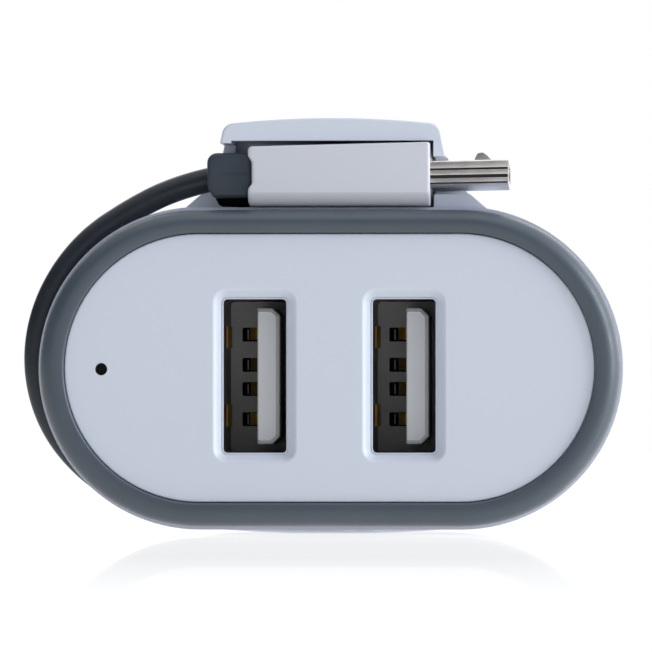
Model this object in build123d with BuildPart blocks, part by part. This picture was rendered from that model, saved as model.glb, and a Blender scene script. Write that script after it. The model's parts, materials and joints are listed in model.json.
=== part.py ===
"""USB wall charger with two USB-A sockets, folding mains blades and a captive micro-USB cable.

Millimetres. X runs left to right seen from the front, Y from the front face to the wall, Z up.
The origin is on the standing surface, under the middle of the case.
"""
from build123d import *
import math
import os

os.makedirs("parts", exist_ok=True)

# ---- Case ----------------------------------------------------------------
case_depth = 42.0
half_depth = case_depth / 2
mid_z = 13.5
body_half_width = 22.6
body_half_height = 13.55
base_trim = 0.05
crown_radius = 125.0
wall = 1.6

# The front bezel is an oblong with full-round ends.
flange_size = (47.74, 26.36)
flange_trim_z = 26.62
flange_trim_x = (-11.5, 8.45)
ring_size = (47.3, 26.1)
plate_size = (43.2, 21.9)
waist_size = (42.4, 21.2)
fit_gap = 0.05

# Depths are counted from the very front of the bezel, towards the wall.
plate_front = 0.45
plate_back = 2.45
flange_front = 2.9
flange_back = 3.7
groove_back = 6.5
lip_back = 8.6
front_wall_back = 4.2
seat_back = 13.5

# ---- USB-A sockets -------------------------------------------------------
port_x = 6.08
port_z = 12.85
port_opening = (5.12, 12.5)
shell_wall = 0.3
shell_size = (port_opening[0] + 2 * shell_wall, port_opening[1] + 2 * shell_wall)
shell_front = 1.35
shell_back = 14.6
tongue_front = 2.6
tongue_thickness = 1.84
tongue_height = 11.1
socket_floor = 11.9
contact_offsets = (-3.5, -1.0, 1.0, 3.5)
board_front = 14.7
board_thickness = 1.2
board_back = board_front + board_thickness

# ---- Dock for the cable's plug -------------------------------------------
dock_floor_z = 26.5
dock_ceiling_z = 32.05
dock_left_x = -8.05
dock_right_x = 8.45
dock_back = 9.9
hood_centre_x = 0.15
hood_top_z = 33.9
hood_front = 1.8
hood_crown_radius = 79.0
# Half-widths of the hood and their heights, from its shoulders down to its flared feet.
hood_shoulder_x = 8.8
hood_knee = (9.43, 30.4)
hood_ankle = (10.6, 28.25)
hood_toe = (13.3, 25.95)

# ---- Captive cable and its micro-USB plug --------------------------------
cable_radius = 1.0
cable_depth = 5.1
cable_y = cable_depth - half_depth
cable_start = (7.6, 25.2)
wrap_route = [
    (13.7, 25.2),
    (19.4, 22.3),
    (22.6, 16.7),
    (22.6, 10.3),
    (19.4, 4.7),
    (13.8, 1.5),
    (4.6, 1.35),
    (-4.6, 1.35),
    (-13.8, 1.5),
    (-19.4, 4.7),
]
cable_split = (-21.15, 6.8)
tail_route = [
    (-22.9, 8.9),
    (-24.2, 13.9),
    (-23.3, 19.0),
    (-20.2, 23.6),
    (-15.6, 26.6),
    (-12.2, 28.15),
]
cable_end = (-10.0, 28.7)

plug_z = 29.22
plug_roll = 3.5
plug_left_x = -6.5
plug_right_x = 8.2
plug_width = 9.0
plug_thickness = 4.55
collar_z = (26.8, 30.9)
collar_width = 6.0
micro_width = 6.85
micro_height = 1.8
micro_wall = 0.25
micro_tip_x = 14.6
micro_tail_x = 4.2
micro_corner = 0.55
latch_x = 12.2
latch_offset = 2.2

# ---- Folding mains blades ------------------------------------------------
blade_spacing = 12.7
blade_width = 6.35
blade_thickness = 1.5
blade_reach = 16.0
blade_hole_radius = 1.6
hinge_z = 21.6
hinge_depth = 38.6
hinge_y = hinge_depth - half_depth
blade_tip_z = hinge_z - (case_depth - hinge_depth) - blade_reach
barrel_radius = 3.3
barrel_length = 20.2
pin_radius = 1.2
pin_length = 1.2
pin_clearance = 0.05
well_half_width = 12.2
well_front = 33.8
pocket_front = 35.0
slot_width = 2.0

# ---- Boards inside -------------------------------------------------------
main_board_z = 5.5
main_board_top = main_board_z + board_thickness
main_board_front = 16.2
main_board_back = 33.4

side_radius = (
    (body_half_width**2 + body_half_height**2 - 2 * crown_radius * body_half_height)
    / (2 * (body_half_width - crown_radius))
)
side_x = body_half_width - side_radius
crown_angle = math.degrees(math.atan2(crown_radius - body_half_height, side_x))


def section(depth):
    """The plane across the case at a depth behind the front, drawn in X and Z."""
    return Plane.XZ.offset(half_depth - depth)


def level(height):
    """The horizontal plane at a height."""
    return Plane.XY.offset(height)


def at(x, depth):
    """A place on a horizontal plane, from X and the depth behind the front."""
    return (x, depth - half_depth)


def body_outline(inset):
    """The rear body's outline: round sides joined by two gently crowned faces."""
    centre_drop = crown_radius - body_half_height
    with BuildSketch() as outline:
        with BuildLine():
            CenterArc((side_x, mid_z), side_radius - inset, -crown_angle, 2 * crown_angle)
            CenterArc(
                (0, mid_z - centre_drop), crown_radius - inset, crown_angle, 180 - 2 * crown_angle
            )
            CenterArc((-side_x, mid_z), side_radius - inset, 180 - crown_angle, 2 * crown_angle)
            CenterArc(
                (0, mid_z + centre_drop),
                crown_radius - inset,
                180 + crown_angle,
                180 - 2 * crown_angle,
            )
        make_face()
    return outline.sketch


def block(x_range, depth_range, z_range):
    """A plain box between limits in X, depth and Z."""
    spans = [high - low for low, high in (x_range, depth_range, z_range)]
    place = Pos(x_range[0], depth_range[0] - half_depth, z_range[0])
    return place * Box(*spans, align=(Align.MIN, Align.MIN, Align.MIN), mode=Mode.PRIVATE)


def finish(piece, name):
    """Labels a finished piece and writes it."""
    piece.part.label = name
    export_step(piece.part, f"parts/{name}.step")


outer_outline = body_outline(0)
inner_outline = body_outline(wall)
lip_outline = body_outline(wall + fit_gap)
lip_bore = body_outline(2 * wall)
board_outline = body_outline(wall + 0.8)

# ---- Front plate: the glossy face with both port openings ------------------
led_x = -18.6
led_z = 13.4
led_hole_radius = 0.5
pipe_radius = 0.7
with BuildPart() as front_plate:
    with BuildSketch(section(plate_back)):
        with Locations((0, mid_z)):
            SlotOverall(plate_size[0] - 2 * fit_gap, plate_size[1] - 2 * fit_gap)
    extrude(amount=plate_back - plate_front)
    face_edges = front_plate.faces().sort_by(Axis.Y)[0].edges()
    fillet(face_edges, 0.35)
    with BuildSketch(section(plate_back)):
        with Locations((-port_x, port_z), (port_x, port_z)):
            RectangleRounded(*port_opening, 0.5)
    extrude(amount=plate_back - plate_front, mode=Mode.SUBTRACT)
    chamfer(front_plate.faces().sort_by(Axis.Y)[0].inner_wires().edges(), 0.7)
    with BuildSketch(section(plate_back)):
        with Locations((-port_x, port_z), (port_x, port_z)):
            RectangleRounded(shell_size[0] + 0.1, shell_size[1] + 0.1, 0.5)
    extrude(amount=plate_back - shell_front + fit_gap, mode=Mode.SUBTRACT)
    with BuildSketch(section(plate_back)):
        with Locations((led_x, led_z)):
            Circle(led_hole_radius)
    extrude(amount=plate_back - plate_front, mode=Mode.SUBTRACT)
finish(front_plate, "front_plate")

# ---- Bezel ring: soft bumper round the plate -------------------------------
with BuildPart() as bezel_ring:
    with BuildSketch(section(flange_front)):
        with Locations((0, mid_z)):
            SlotOverall(*ring_size)
            SlotOverall(*plate_size, mode=Mode.SUBTRACT)
    extrude(amount=flange_front)
    rim = bezel_ring.faces().sort_by(Axis.Y)[0]
    fillet(rim.outer_wire().edges(), 1.2)
    fillet(bezel_ring.faces().sort_by(Axis.Y)[0].inner_wires().edges(), 0.5)
finish(bezel_ring, "bezel_ring")

# ---- Front housing: flange, cable groove and the lip that enters the cover -
bridge_half_width = 12.4
lead_way = block((5.4, cable_start[0]), (front_wall_back, 6.0), (21.0, 26.0))
gland_x = (9.8, 13.2)
gland_radius = 1.3
gland_bore = 1.02
cable_hole = Pos(cable_start[0], cable_y, cable_start[1]) * Rot(0, 90, 0) * Cylinder(
    gland_bore, 8.0, align=(Align.CENTER, Align.CENTER, Align.MIN)
)
gland_hole = Pos(gland_x[0], cable_y, cable_start[1]) * Rot(0, 90, 0) * Cylinder(
    gland_radius, 6.0, align=(Align.CENTER, Align.CENTER, Align.MIN)
)
with BuildPart() as front_housing:
    with BuildSketch(section(flange_front)):
        with Locations((0, mid_z)):
            SlotOverall(plate_size[0] - 2 * fit_gap, plate_size[1] - 2 * fit_gap)
    extrude(amount=flange_front - plate_back)
    with BuildSketch(section(flange_back)):
        with Locations((0, mid_z)):
            SlotOverall(*flange_size)
    extrude(amount=flange_back - flange_front)
    fillet(front_housing.faces().sort_by(Axis.Y)[-1].edges(), 0.2)
    add(block(flange_trim_x, (0, groove_back), (flange_trim_z, 40)), mode=Mode.SUBTRACT)
    with BuildSketch(section(groove_back)):
        with Locations((0, mid_z)):
            SlotOverall(*waist_size)
    extrude(amount=groove_back - flange_back)
    add(
        block(
            (-bridge_half_width, bridge_half_width),
            (flange_back, groove_back),
            (22.0, dock_floor_z),
        )
    )
    with BuildSketch(section(lip_back)):
        add(lip_outline)
    extrude(amount=lip_back - groove_back)
    with BuildSketch(section(lip_back)):
        add(lip_bore)
    extrude(amount=lip_back - groove_back, mode=Mode.SUBTRACT)
    with BuildSketch(section(lip_back)):
        with Locations((0, mid_z)):
            SlotOverall(waist_size[0] - 2 * wall, waist_size[1] - 2 * wall)
    extrude(amount=lip_back - front_wall_back, mode=Mode.SUBTRACT)
    with BuildSketch(section(front_wall_back)):
        with Locations((-port_x, port_z), (port_x, port_z)):
            RectangleRounded(shell_size[0] + 0.2, shell_size[1] + 0.2, 0.5)
        with Locations((led_x, led_z)):
            Circle(pipe_radius + fit_gap)
    extrude(amount=front_wall_back - plate_back, mode=Mode.SUBTRACT)
    add(lead_way, mode=Mode.SUBTRACT)
    add(cable_hole, mode=Mode.SUBTRACT)
    add(gland_hole, mode=Mode.SUBTRACT)
finish(front_housing, "front_housing")

# ---- Rear cover: the body, with the well that the mains blades fold into ---
blade_x = (-blade_spacing / 2, blade_spacing / 2)
slot_bottom_z = blade_tip_z - 0.3
pocket_z = (hinge_z - barrel_radius - 0.25, hinge_z + barrel_radius + 0.25)
pocket_half_width = barrel_length / 2 + 0.15
scoop_radius = 6.0
scoop_out = 3.4
rear_rounding = 1.4
with BuildPart() as rear_cover:
    with BuildSketch(section(case_depth)):
        add(outer_outline)
    extrude(amount=case_depth - groove_back)
    fillet(rear_cover.faces().sort_by(Axis.Y)[-1].edges(), rear_rounding)
    fillet(rear_cover.faces().sort_by(Axis.Y)[0].edges(), 0.4)
    with BuildSketch(section(case_depth - wall)):
        add(inner_outline)
    extrude(amount=case_depth - wall - groove_back, mode=Mode.SUBTRACT)
    with BuildSketch(section(case_depth - wall)):
        with Locations((0, mid_z)):
            Rectangle(2 * well_half_width, 2 * body_half_height - wall)
    extrude(amount=case_depth - wall - well_front)
    add(
        block(
            (-pocket_half_width, pocket_half_width), (pocket_front, case_depth + 1), pocket_z
        ),
        mode=Mode.SUBTRACT,
    )
    for centre_x in blade_x:
        add(
            block(
                (centre_x - slot_width / 2, centre_x + slot_width / 2),
                (pocket_front, case_depth + 1),
                (slot_bottom_z, pocket_z[1]),
            ),
            mode=Mode.SUBTRACT,
        )
        add(
            block((centre_x - 1.5, centre_x + 1.5), (well_front - 1, pocket_front), (20.2, 23.0)),
            mode=Mode.SUBTRACT,
        )
    with BuildSketch(Plane.YZ.offset(-barrel_length / 2)):
        with Locations((half_depth + scoop_out, 7.5)):
            Circle(scoop_radius)
    extrude(amount=barrel_length, mode=Mode.SUBTRACT)
    with BuildSketch(Plane.YZ.offset(-pocket_half_width - pin_length)):
        with Locations((hinge_y, hinge_z)):
            Circle(pin_radius + pin_clearance)
    extrude(amount=2 * (pocket_half_width + pin_length), mode=Mode.SUBTRACT)
    add(
        block((-30, 30), (groove_back - 1, seat_back), (dock_floor_z, 40)), mode=Mode.SUBTRACT
    )
    add(block((-30, 30), (0, case_depth + 1), (-10, 0)), mode=Mode.SUBTRACT)
finish(rear_cover, "rear_cover")

# ---- Dock hood: the hump on top that houses the cable's plug ---------------
hood_shoulder_z = hood_top_z - hood_crown_radius + math.sqrt(
    hood_crown_radius**2 - hood_shoulder_x**2
)
notch_left_top = 31.85
notch_right = (27.7, 30.75)
notch_back = 8.9
hood_edge_rounding = 0.22
leg_outer_x = 9.1
hood_plane = Plane(Pos(hood_centre_x, 0, 0) * section(seat_back).location)
with BuildPart() as dock_hood:
    with BuildSketch(hood_plane):
        with BuildLine():
            shoulder = (hood_shoulder_x, hood_shoulder_z)
            right_side = Line(shoulder, hood_knee)
            right_flare = TangentArc(right_side @ 1, hood_ankle, tangent=right_side % 1)
            right_slope = Line(right_flare @ 1, hood_toe)
            left_side = Line((-shoulder[0], shoulder[1]), (-hood_knee[0], hood_knee[1]))
            left_flare = TangentArc(
                left_side @ 1, (-hood_ankle[0], hood_ankle[1]), tangent=left_side % 1
            )
            left_slope = Line(left_flare @ 1, (-hood_toe[0], hood_toe[1]))
            foot = Line(right_slope @ 1, left_slope @ 1)
            crown = ThreePointArc(left_side @ 0, (0, hood_top_z), right_side @ 0)
        make_face()
    extrude(amount=seat_back - hood_front)
    top_corners = dock_hood.edges().filter_by(Axis.Y).group_by(Axis.Z)[-1]
    fillet(top_corners, 1.0)
    crown_face = dock_hood.faces().filter_by(GeomType.CYLINDER).sort_by(Axis.Z)[-1]
    fillet(crown_face.edges().sort_by(Axis.Y)[-1], 3.0)
    add(block((-30, 30), (0, seat_back + 1), (0, dock_floor_z)), mode=Mode.SUBTRACT)
    add(
        block((dock_left_x, dock_right_x), (0, dock_back), (0, dock_ceiling_z)),
        mode=Mode.SUBTRACT,
    )
    add(block((-30, dock_left_x), (0, notch_back), (0, notch_left_top)), mode=Mode.SUBTRACT)
    add(block((dock_right_x, 30), (0, notch_back), notch_right), mode=Mode.SUBTRACT)
    add(block((-30, 30), (0, flange_back + fit_gap), (0, notch_right[1])), mode=Mode.SUBTRACT)
    lid_rim = [
        edge
        for edge in dock_hood.faces().sort_by(Axis.Y)[0].edges()
        if edge.center().Z > dock_ceiling_z or edge.center().X > leg_outer_x
    ]
    fillet(lid_rim, hood_edge_rounding)
finish(dock_hood, "dock_hood")

# ---- LED and light pipe ----------------------------------------------------
pipe_back = 12.8
pipe_recess = 0.9
with BuildPart() as led_light_pipe:
    with BuildSketch(section(pipe_back)):
        with Locations((led_x, led_z)):
            Circle(pipe_radius)
    extrude(amount=pipe_back - plate_back)
    with BuildSketch(section(plate_back)):
        with Locations((led_x, led_z)):
            Circle(led_hole_radius - 0.03)
    extrude(amount=plate_back - plate_front - pipe_recess)
finish(led_light_pipe, "led_light_pipe")

with BuildPart() as status_led:
    with BuildSketch(section(board_front)):
        with Locations((led_x, led_z)):
            Rectangle(1.6, 2.8)
    extrude(amount=0.8)
    with BuildSketch(section(board_front - 0.8)):
        with Locations((led_x, led_z)):
            Circle(0.7)
    extrude(amount=0.5)
finish(status_led, "status_led")

# ---- USB-A sockets: shell, insulator with tongue, and four contacts --------
spring_window = (3.0, 2.0)
spring_offset = 3.2
spring_front = 4.0
for side, centre_x in (("left", -port_x), ("right", port_x)):
    with BuildPart() as usb_shell:
        with BuildSketch(section(shell_back)):
            with Locations((centre_x, port_z)):
                RectangleRounded(*shell_size, 0.6)
                RectangleRounded(*port_opening, 0.4, mode=Mode.SUBTRACT)
        extrude(amount=shell_back - shell_front)
        for window_z in (port_z - spring_offset, port_z + spring_offset):
            add(
                block(
                    (centre_x - 4, centre_x - 2),
                    (spring_front, spring_front + spring_window[0]),
                    (window_z - spring_window[1] / 2, window_z + spring_window[1] / 2),
                ),
                mode=Mode.SUBTRACT,
            )
    finish(usb_shell, f"usb_shell_{side}")

    contact_grooves = [
        block(
            (centre_x - 0.02, centre_x + 0.2),
            (tongue_front + 0.8, shell_back),
            (port_z + offset - 0.5, port_z + offset + 0.5),
        )
        for offset in contact_offsets
    ]
    with BuildPart() as usb_insulator:
        with BuildSketch(section(shell_back)):
            with Locations((centre_x, port_z)):
                RectangleRounded(port_opening[0] - 0.1, port_opening[1] - 0.1, 0.4)
        extrude(amount=shell_back - socket_floor)
        tongue = block(
            (centre_x, centre_x + tongue_thickness),
            (tongue_front, socket_floor),
            (port_z - tongue_height / 2, port_z + tongue_height / 2),
        )
        add(tongue)
        nose_edges = usb_insulator.faces().sort_by(Axis.Y)[0].edges().filter_by(Axis.Z)
        chamfer(nose_edges, 0.45)
        for groove in contact_grooves:
            add(groove, mode=Mode.SUBTRACT)
    finish(usb_insulator, f"usb_insulator_{side}")

    with BuildPart() as usb_contacts:
        for offset in contact_offsets:
            add(
                block(
                    (centre_x - 0.02, centre_x + 0.16),
                    (tongue_front + 0.9, shell_back),
                    (port_z + offset - 0.48, port_z + offset + 0.48),
                )
            )
    finish(usb_contacts, f"usb_contacts_{side}")

# ---- USB daughter board, upright behind the sockets ------------------------
with BuildPart() as usb_board:
    with BuildSketch(section(board_back)):
        add(board_outline)
    extrude(amount=board_thickness)
finish(usb_board, "usb_board")

chip_half_width = 2.5
chip_height = 1.1
chip_z = (15.5, 19.5)
with BuildPart() as charge_controller:
    add(block((-chip_half_width, chip_half_width), (board_back, board_back + chip_height), chip_z))
    chamfer(charge_controller.edges().filter_by(Axis.X).group_by(Axis.Y)[-1], 0.25)
finish(charge_controller, "charge_controller")

# ---- Main board and its components -----------------------------------------
main_board_width = 34.4
with BuildPart() as main_board:
    with BuildSketch(level(main_board_z)):
        with Locations(at(0, (main_board_front + main_board_back) / 2)):
            RectangleRounded(main_board_width, main_board_back - main_board_front, 0.8)
    extrude(amount=board_thickness)
finish(main_board, "main_board")

# The transformer stands in the middle: E cores, a bobbin between their legs, and its winding.
core_x = (-6.6, 6.6)
core_depth = (20.6, 26.6)
core_z = (7.7, 20.9)
core_bar = 2.7
leg_half = 1.9
core_window_x = (core_x[0] + core_bar, core_x[1] - core_bar)
core_window_z = (core_z[0] + core_bar, core_z[1] - core_bar)
with BuildPart() as transformer_core:
    add(block(core_x, core_depth, core_z))
    for window_x in ((core_window_x[0], -leg_half), (leg_half, core_window_x[1])):
        add(block(window_x, core_depth, core_window_z), mode=Mode.SUBTRACT)
finish(transformer_core, "transformer_core")

bobbin_gap = 0.05
bobbin_wall = 0.35
bobbin_flange = 0.6
bobbin_foot = 1.6
bobbin_foot_half_width = 5.5
winding_rounding = 1.2
tube_half = leg_half + bobbin_wall
flange_reach = (core_window_x[0] + bobbin_gap, core_window_x[1] - bobbin_gap)
bobbin_z = (core_window_z[0] + bobbin_gap, core_window_z[1] - bobbin_gap)
bobbin_depth = (core_depth[0] - 2.4, core_depth[1] + 2.4)
with BuildPart() as transformer_bobbin:
    for low_z in (bobbin_z[0], bobbin_z[1] - bobbin_flange):
        add(block(flange_reach, bobbin_depth, (low_z, low_z + bobbin_flange)))
    add(block((-tube_half, tube_half), (core_depth[0] - 0.4, core_depth[1] + 0.4), bobbin_z))
    add(
        block(
            (-leg_half - bobbin_gap, leg_half + bobbin_gap),
            (core_depth[0] - bobbin_gap, core_depth[1] + bobbin_gap),
            bobbin_z,
        ),
        mode=Mode.SUBTRACT,
    )
    for foot_depth in (bobbin_depth[0], bobbin_depth[1] - bobbin_foot):
        add(
            block(
                (-bobbin_foot_half_width, bobbin_foot_half_width),
                (foot_depth, foot_depth + bobbin_foot),
                (main_board_top, bobbin_z[0]),
            )
        )
finish(transformer_bobbin, "transformer_bobbin")

with BuildPart() as transformer_winding:
    with BuildSketch(level(bobbin_z[0] + bobbin_flange + bobbin_gap)):
        with Locations(at(0, (core_depth[0] + core_depth[1]) / 2)):
            RectangleRounded(
                2 * flange_reach[1] - 0.1,
                bobbin_depth[1] - bobbin_depth[0] - 0.4,
                winding_rounding,
            )
            Rectangle(
                2 * tube_half + 0.1, core_depth[1] - core_depth[0] + 0.9, mode=Mode.SUBTRACT
            )
    extrude(amount=bobbin_z[1] - bobbin_z[0] - 2 * (bobbin_flange + bobbin_gap))
finish(transformer_winding, "transformer_winding")

# Each row of cans: its two places, the radius, the height and the rounding of the top.
can_rows = (
    ("input_capacitors", (at(-12.2, 20.6), at(-12.2, 29.0)), 3.95, 11.5, 0.5),
    ("output_capacitors", (at(12.4, 20.2), at(12.4, 26.8)), 3.15, 11.0, 0.4),
)
for part_name, places, can_radius, can_height, can_rounding in can_rows:
    with BuildPart() as cans:
        with BuildSketch(level(main_board_top)):
            with Locations(*places):
                Circle(can_radius)
        extrude(amount=can_height)
        fillet(cans.faces().sort_by(Axis.Z)[-2:].edges(), can_rounding)
    finish(cans, part_name)

fuse_x = -4.6
fuse_place = (31.5 - half_depth, 9.6)
fuse_radius = 1.5
fuse_length = 8.0
with BuildPart() as fuse:
    with BuildSketch(Plane.YZ.offset(fuse_x)):
        with Locations(fuse_place):
            Circle(fuse_radius)
    extrude(amount=fuse_length)
finish(fuse, "fuse")

choke_place = at(8.4, 31.2)
choke_height = 6.0
choke_rim = 1.0
with BuildPart() as line_choke:
    with BuildSketch(level(main_board_top)):
        with Locations(choke_place):
            Circle(2.0)
    extrude(amount=choke_height)
    for low_z in (main_board_top, main_board_top + choke_height - choke_rim):
        with BuildSketch(level(low_z)):
            with Locations(choke_place):
                Circle(2.2)
        extrude(amount=choke_rim)
finish(line_choke, "line_choke")

disc_x = (11.0, 13.4)
disc_depth = 31.7
disc_z = 11.6
disc_radius = 1.6
disc_leg_x = (12.0, 12.4)
disc_leg_depth = (31.4, 31.8)
with BuildPart() as safety_capacitor:
    with BuildSketch(Plane.YZ.offset(disc_x[0])):
        with Locations((disc_depth - half_depth, disc_z)):
            Circle(disc_radius)
    extrude(amount=disc_x[1] - disc_x[0])
    fillet(safety_capacitor.edges().filter_by(GeomType.CIRCLE), 0.6)
    add(block(disc_leg_x, disc_leg_depth, (main_board_top, disc_z - disc_radius + 0.2)))
finish(safety_capacitor, "safety_capacitor")

# Flat packages under the board: each one's limits in X and in depth, and its height.
under_board_parts = (
    ("bridge_rectifier", (-11.0, -6.2), (25.0, 31.4), 2.0),
    ("switching_transistor", (-4.0, 1.0), (20.0, 24.2), 1.6),
    ("optocoupler", (4.0, 8.4), (20.0, 26.4), 2.0),
)
for part_name, x_range, depth_range, height in under_board_parts:
    with BuildPart() as chip:
        add(block(x_range, depth_range, (main_board_z - height, main_board_z)))
        chamfer(chip.edges().filter_by(Axis.Y).group_by(Axis.Z)[0], 0.3)
    finish(chip, part_name)

barrier_x = (7.4, 7.8)
barrier_depth = (17.0, 28.4)
barrier_top_z = 19.0
with BuildPart() as insulation_barrier:
    add(block(barrier_x, barrier_depth, (main_board_top, barrier_top_z)))
finish(insulation_barrier, "insulation_barrier")

# ---- Mains side: springs that touch the blades, and the barrel's detent ----
strip_half_width = 1.2
strip_thickness = 0.4
strip_depth = 33.2
strip_top_z = 22.6
strip_bend = strip_depth + strip_thickness
with BuildPart() as blade_contacts:
    for centre_x in blade_x:
        strip_x = (centre_x - strip_half_width, centre_x + strip_half_width)
        add(block(strip_x, (strip_depth, strip_bend), (main_board_top, strip_top_z)))
        add(
            block(
                strip_x, (strip_bend, pocket_front), (strip_top_z - strip_thickness, strip_top_z)
            )
        )
finish(blade_contacts, "blade_contacts")

detent_half_width = 2.0
detent_z = 18.6
detent_thickness = 0.2
with BuildPart() as prong_detent_spring:
    with BuildSketch(Plane.YZ.offset(-detent_half_width)):
        with Locations((pocket_front + 0.12 - half_depth, detent_z)):
            Rectangle(detent_thickness, 2 * detent_thickness)
    extrude(amount=2 * detent_half_width)
    fillet(prong_detent_spring.edges().filter_by(Axis.X), 0.05)
finish(prong_detent_spring, "prong_detent_spring")

# ---- Folding blades, stowed pointing down ----------------------------------
blades = []
for side, centre_x in zip(("left", "right"), blade_x):
    with BuildPart() as prong:
        with BuildSketch(Plane.YZ.offset(centre_x - blade_thickness / 2)):
            with Locations((hinge_y, (blade_tip_z + hinge_z + 1.2) / 2)):
                Rectangle(blade_width, hinge_z + 1.2 - blade_tip_z)
        extrude(amount=blade_thickness)
        chamfer(prong.edges().filter_by(Axis.X).group_by(Axis.Z)[0], 1.2)
        chamfer(prong.faces().sort_by(Axis.Z)[0].edges().filter_by(Axis.Y), 0.4)
        with BuildSketch(Plane.YZ.offset(centre_x - blade_thickness)):
            with Locations((hinge_y, blade_tip_z + 4.3)):
                Circle(blade_hole_radius)
        extrude(amount=2 * blade_thickness, mode=Mode.SUBTRACT)
    finish(prong, f"prong_{side}")
    blades.append(prong.part)

with BuildPart() as prong_barrel:
    with BuildSketch(Plane.YZ.offset(-barrel_length / 2)):
        with Locations((hinge_y, hinge_z)):
            Circle(barrel_radius)
    extrude(amount=barrel_length)
    with BuildSketch(Plane.YZ.offset(-barrel_length / 2 - pin_length)):
        with Locations((hinge_y, hinge_z)):
            Circle(pin_radius)
    extrude(amount=barrel_length + 2 * pin_length)
    for blade in blades:
        add(blade, mode=Mode.SUBTRACT)
finish(prong_barrel, "prong_barrel")

# ---- Micro-USB plug on the end of the cable --------------------------------
roll = math.radians(plug_roll)
plug_plane = Plane(
    origin=(0, cable_y, plug_z), x_dir=(1, 0, 0), z_dir=(0, math.sin(roll), math.cos(roll))
)
plug_width_axis = Axis((0, 0, 0), plug_plane.y_dir)
micro_length = micro_tip_x - micro_tail_x


def micro_outline(inset):
    """The plug shell's section in Y and Z: a flat box with its lower corners cut off."""
    half_width = micro_width / 2 - inset
    half_height = micro_height / 2 - inset
    cut = micro_corner
    with BuildSketch() as outline:
        Polygon(
            (-half_width, half_height),
            (half_width, half_height),
            (half_width, -half_height + cut),
            (half_width - cut, -half_height),
            (-half_width + cut, -half_height),
            (-half_width, -half_height + cut),
            align=None,
        )
    return outline.sketch


def across_plug(x):
    """The plane across the plug at X, drawn in the plug's own width and height."""
    local = Plane(origin=(x, 0, 0), x_dir=(0, 1, 0), z_dir=(1, 0, 0))
    return Plane(plug_plane.location * local.location)


micro_outer = micro_outline(0)
micro_inner = micro_outline(micro_wall)
with BuildPart() as plug_shell:
    with BuildSketch(across_plug(micro_tail_x)):
        add(micro_outer)
        add(micro_inner, mode=Mode.SUBTRACT)
    extrude(amount=micro_length)
finish(plug_shell, "plug_shell")

with BuildPart(plug_plane) as plug_housing:
    with Locations(((plug_left_x + plug_right_x) / 2, 0, 0)):
        Box(plug_right_x - plug_left_x, plug_width, plug_thickness)
    fillet(plug_housing.edges(), 0.8)
    with BuildSketch(across_plug(micro_tail_x)):
        add(micro_outer)
    extrude(amount=plug_right_x - micro_tail_x, mode=Mode.SUBTRACT)
finish(plug_housing, "plug_housing")

with BuildPart() as plug_collar:
    add(
        block(
            (cable_end[0], plug_left_x),
            (cable_depth - collar_width / 2, cable_depth + collar_width / 2),
            collar_z,
        )
    )
    fillet(plug_collar.faces().sort_by(Axis.X)[0].edges(), 0.7)
finish(plug_collar, "plug_collar")

tongue_x = (micro_tail_x + 1.0, micro_tip_x - 0.4)
with BuildPart(plug_plane) as plug_tongue:
    with Locations(((tongue_x[0] + tongue_x[1]) / 2, 0, 0.3)):
        Box(tongue_x[1] - tongue_x[0], micro_width - 1.2, 0.5)
finish(plug_tongue, "plug_tongue")

with BuildPart(plug_plane) as plug_contacts:
    for row in range(-2, 3):
        with Locations(((tongue_x[0] + tongue_x[1]) / 2, row * 0.65, 0)):
            Box(tongue_x[1] - tongue_x[0] - 1.0, 0.35, 0.1)
finish(plug_contacts, "plug_contacts")

with BuildPart(plug_plane) as plug_latches:
    for offset in (-latch_offset, latch_offset):
        with Locations((latch_x, offset, micro_height / 2 + 0.2)):
            Box(1.2, 0.7, 0.4)
    chamfer(plug_latches.edges().filter_by(plug_width_axis).group_by(Axis.Z)[-1], 0.25)
finish(plug_latches, "plug_latches")

# ---- Cable, gland and leads ------------------------------------------------
route = [cable_start, *wrap_route, *tail_route, cable_end]
runs = [math.dist(a, b) for a, b in zip(route, route[1:])]
headings = [math.degrees(math.atan2(b[1] - a[1], b[0] - a[0])) for a, b in zip(route, route[1:])]
radii = []
for index in range(1, len(route) - 1):
    turn = abs((headings[index] - headings[index - 1] + 180) % 360 - 180)
    shorter = min(runs[index - 1], runs[index])
    radii.append(0.45 * shorter / math.tan(math.radians(turn / 2)))
print("cable radii", [round(radius, 1) for radius in radii])

cable_spans = (
    ("cable_wrap", [cable_start, *wrap_route, cable_split], radii[: len(wrap_route)]),
    ("cable_tail", [cable_split, *tail_route, cable_end], radii[len(wrap_route) :]),
)
for span_name, points, span_radii in cable_spans:
    with BuildPart() as cable:
        with BuildLine() as path:
            FilletPolyline(*[(x, cable_y, z) for x, z in points], radius=span_radii)
        centreline = path.wires()[0]
        with BuildSketch(Plane(origin=centreline @ 0, z_dir=centreline % 0)):
            Circle(cable_radius)
        sweep(path=centreline)
    expected = math.pi * cable_radius**2 * centreline.length
    print(span_name, "length", round(centreline.length, 2), "volume ratio",
          round(cable.part.volume / expected, 4))
    finish(cable, span_name)

with BuildPart() as cable_gland:
    with BuildSketch(Plane.YZ.offset(gland_x[0])):
        with Locations((cable_y, cable_start[1])):
            Circle(gland_radius - 0.02)
            Circle(gland_bore, mode=Mode.SUBTRACT)
    extrude(amount=gland_x[1] - gland_x[0])
finish(cable_gland, "cable_gland")

lead_radius = 0.4
with BuildPart() as cable_leads:
    for lead_x in (5.9, 6.9):
        with BuildLine() as lead_path:
            FilletPolyline(
                (lead_x, cable_y, 25.2),
                (lead_x, cable_y, 21.0),
                (lead_x, board_front - half_depth, 21.0),
                radius=1.2,
            )
        lead_wire = lead_path.wires()[0]
        with BuildSketch(Plane(origin=lead_wire @ 0, z_dir=lead_wire % 0)):
            Circle(lead_radius)
        sweep(path=lead_wire)
finish(cable_leads, "cable_leads")
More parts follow.
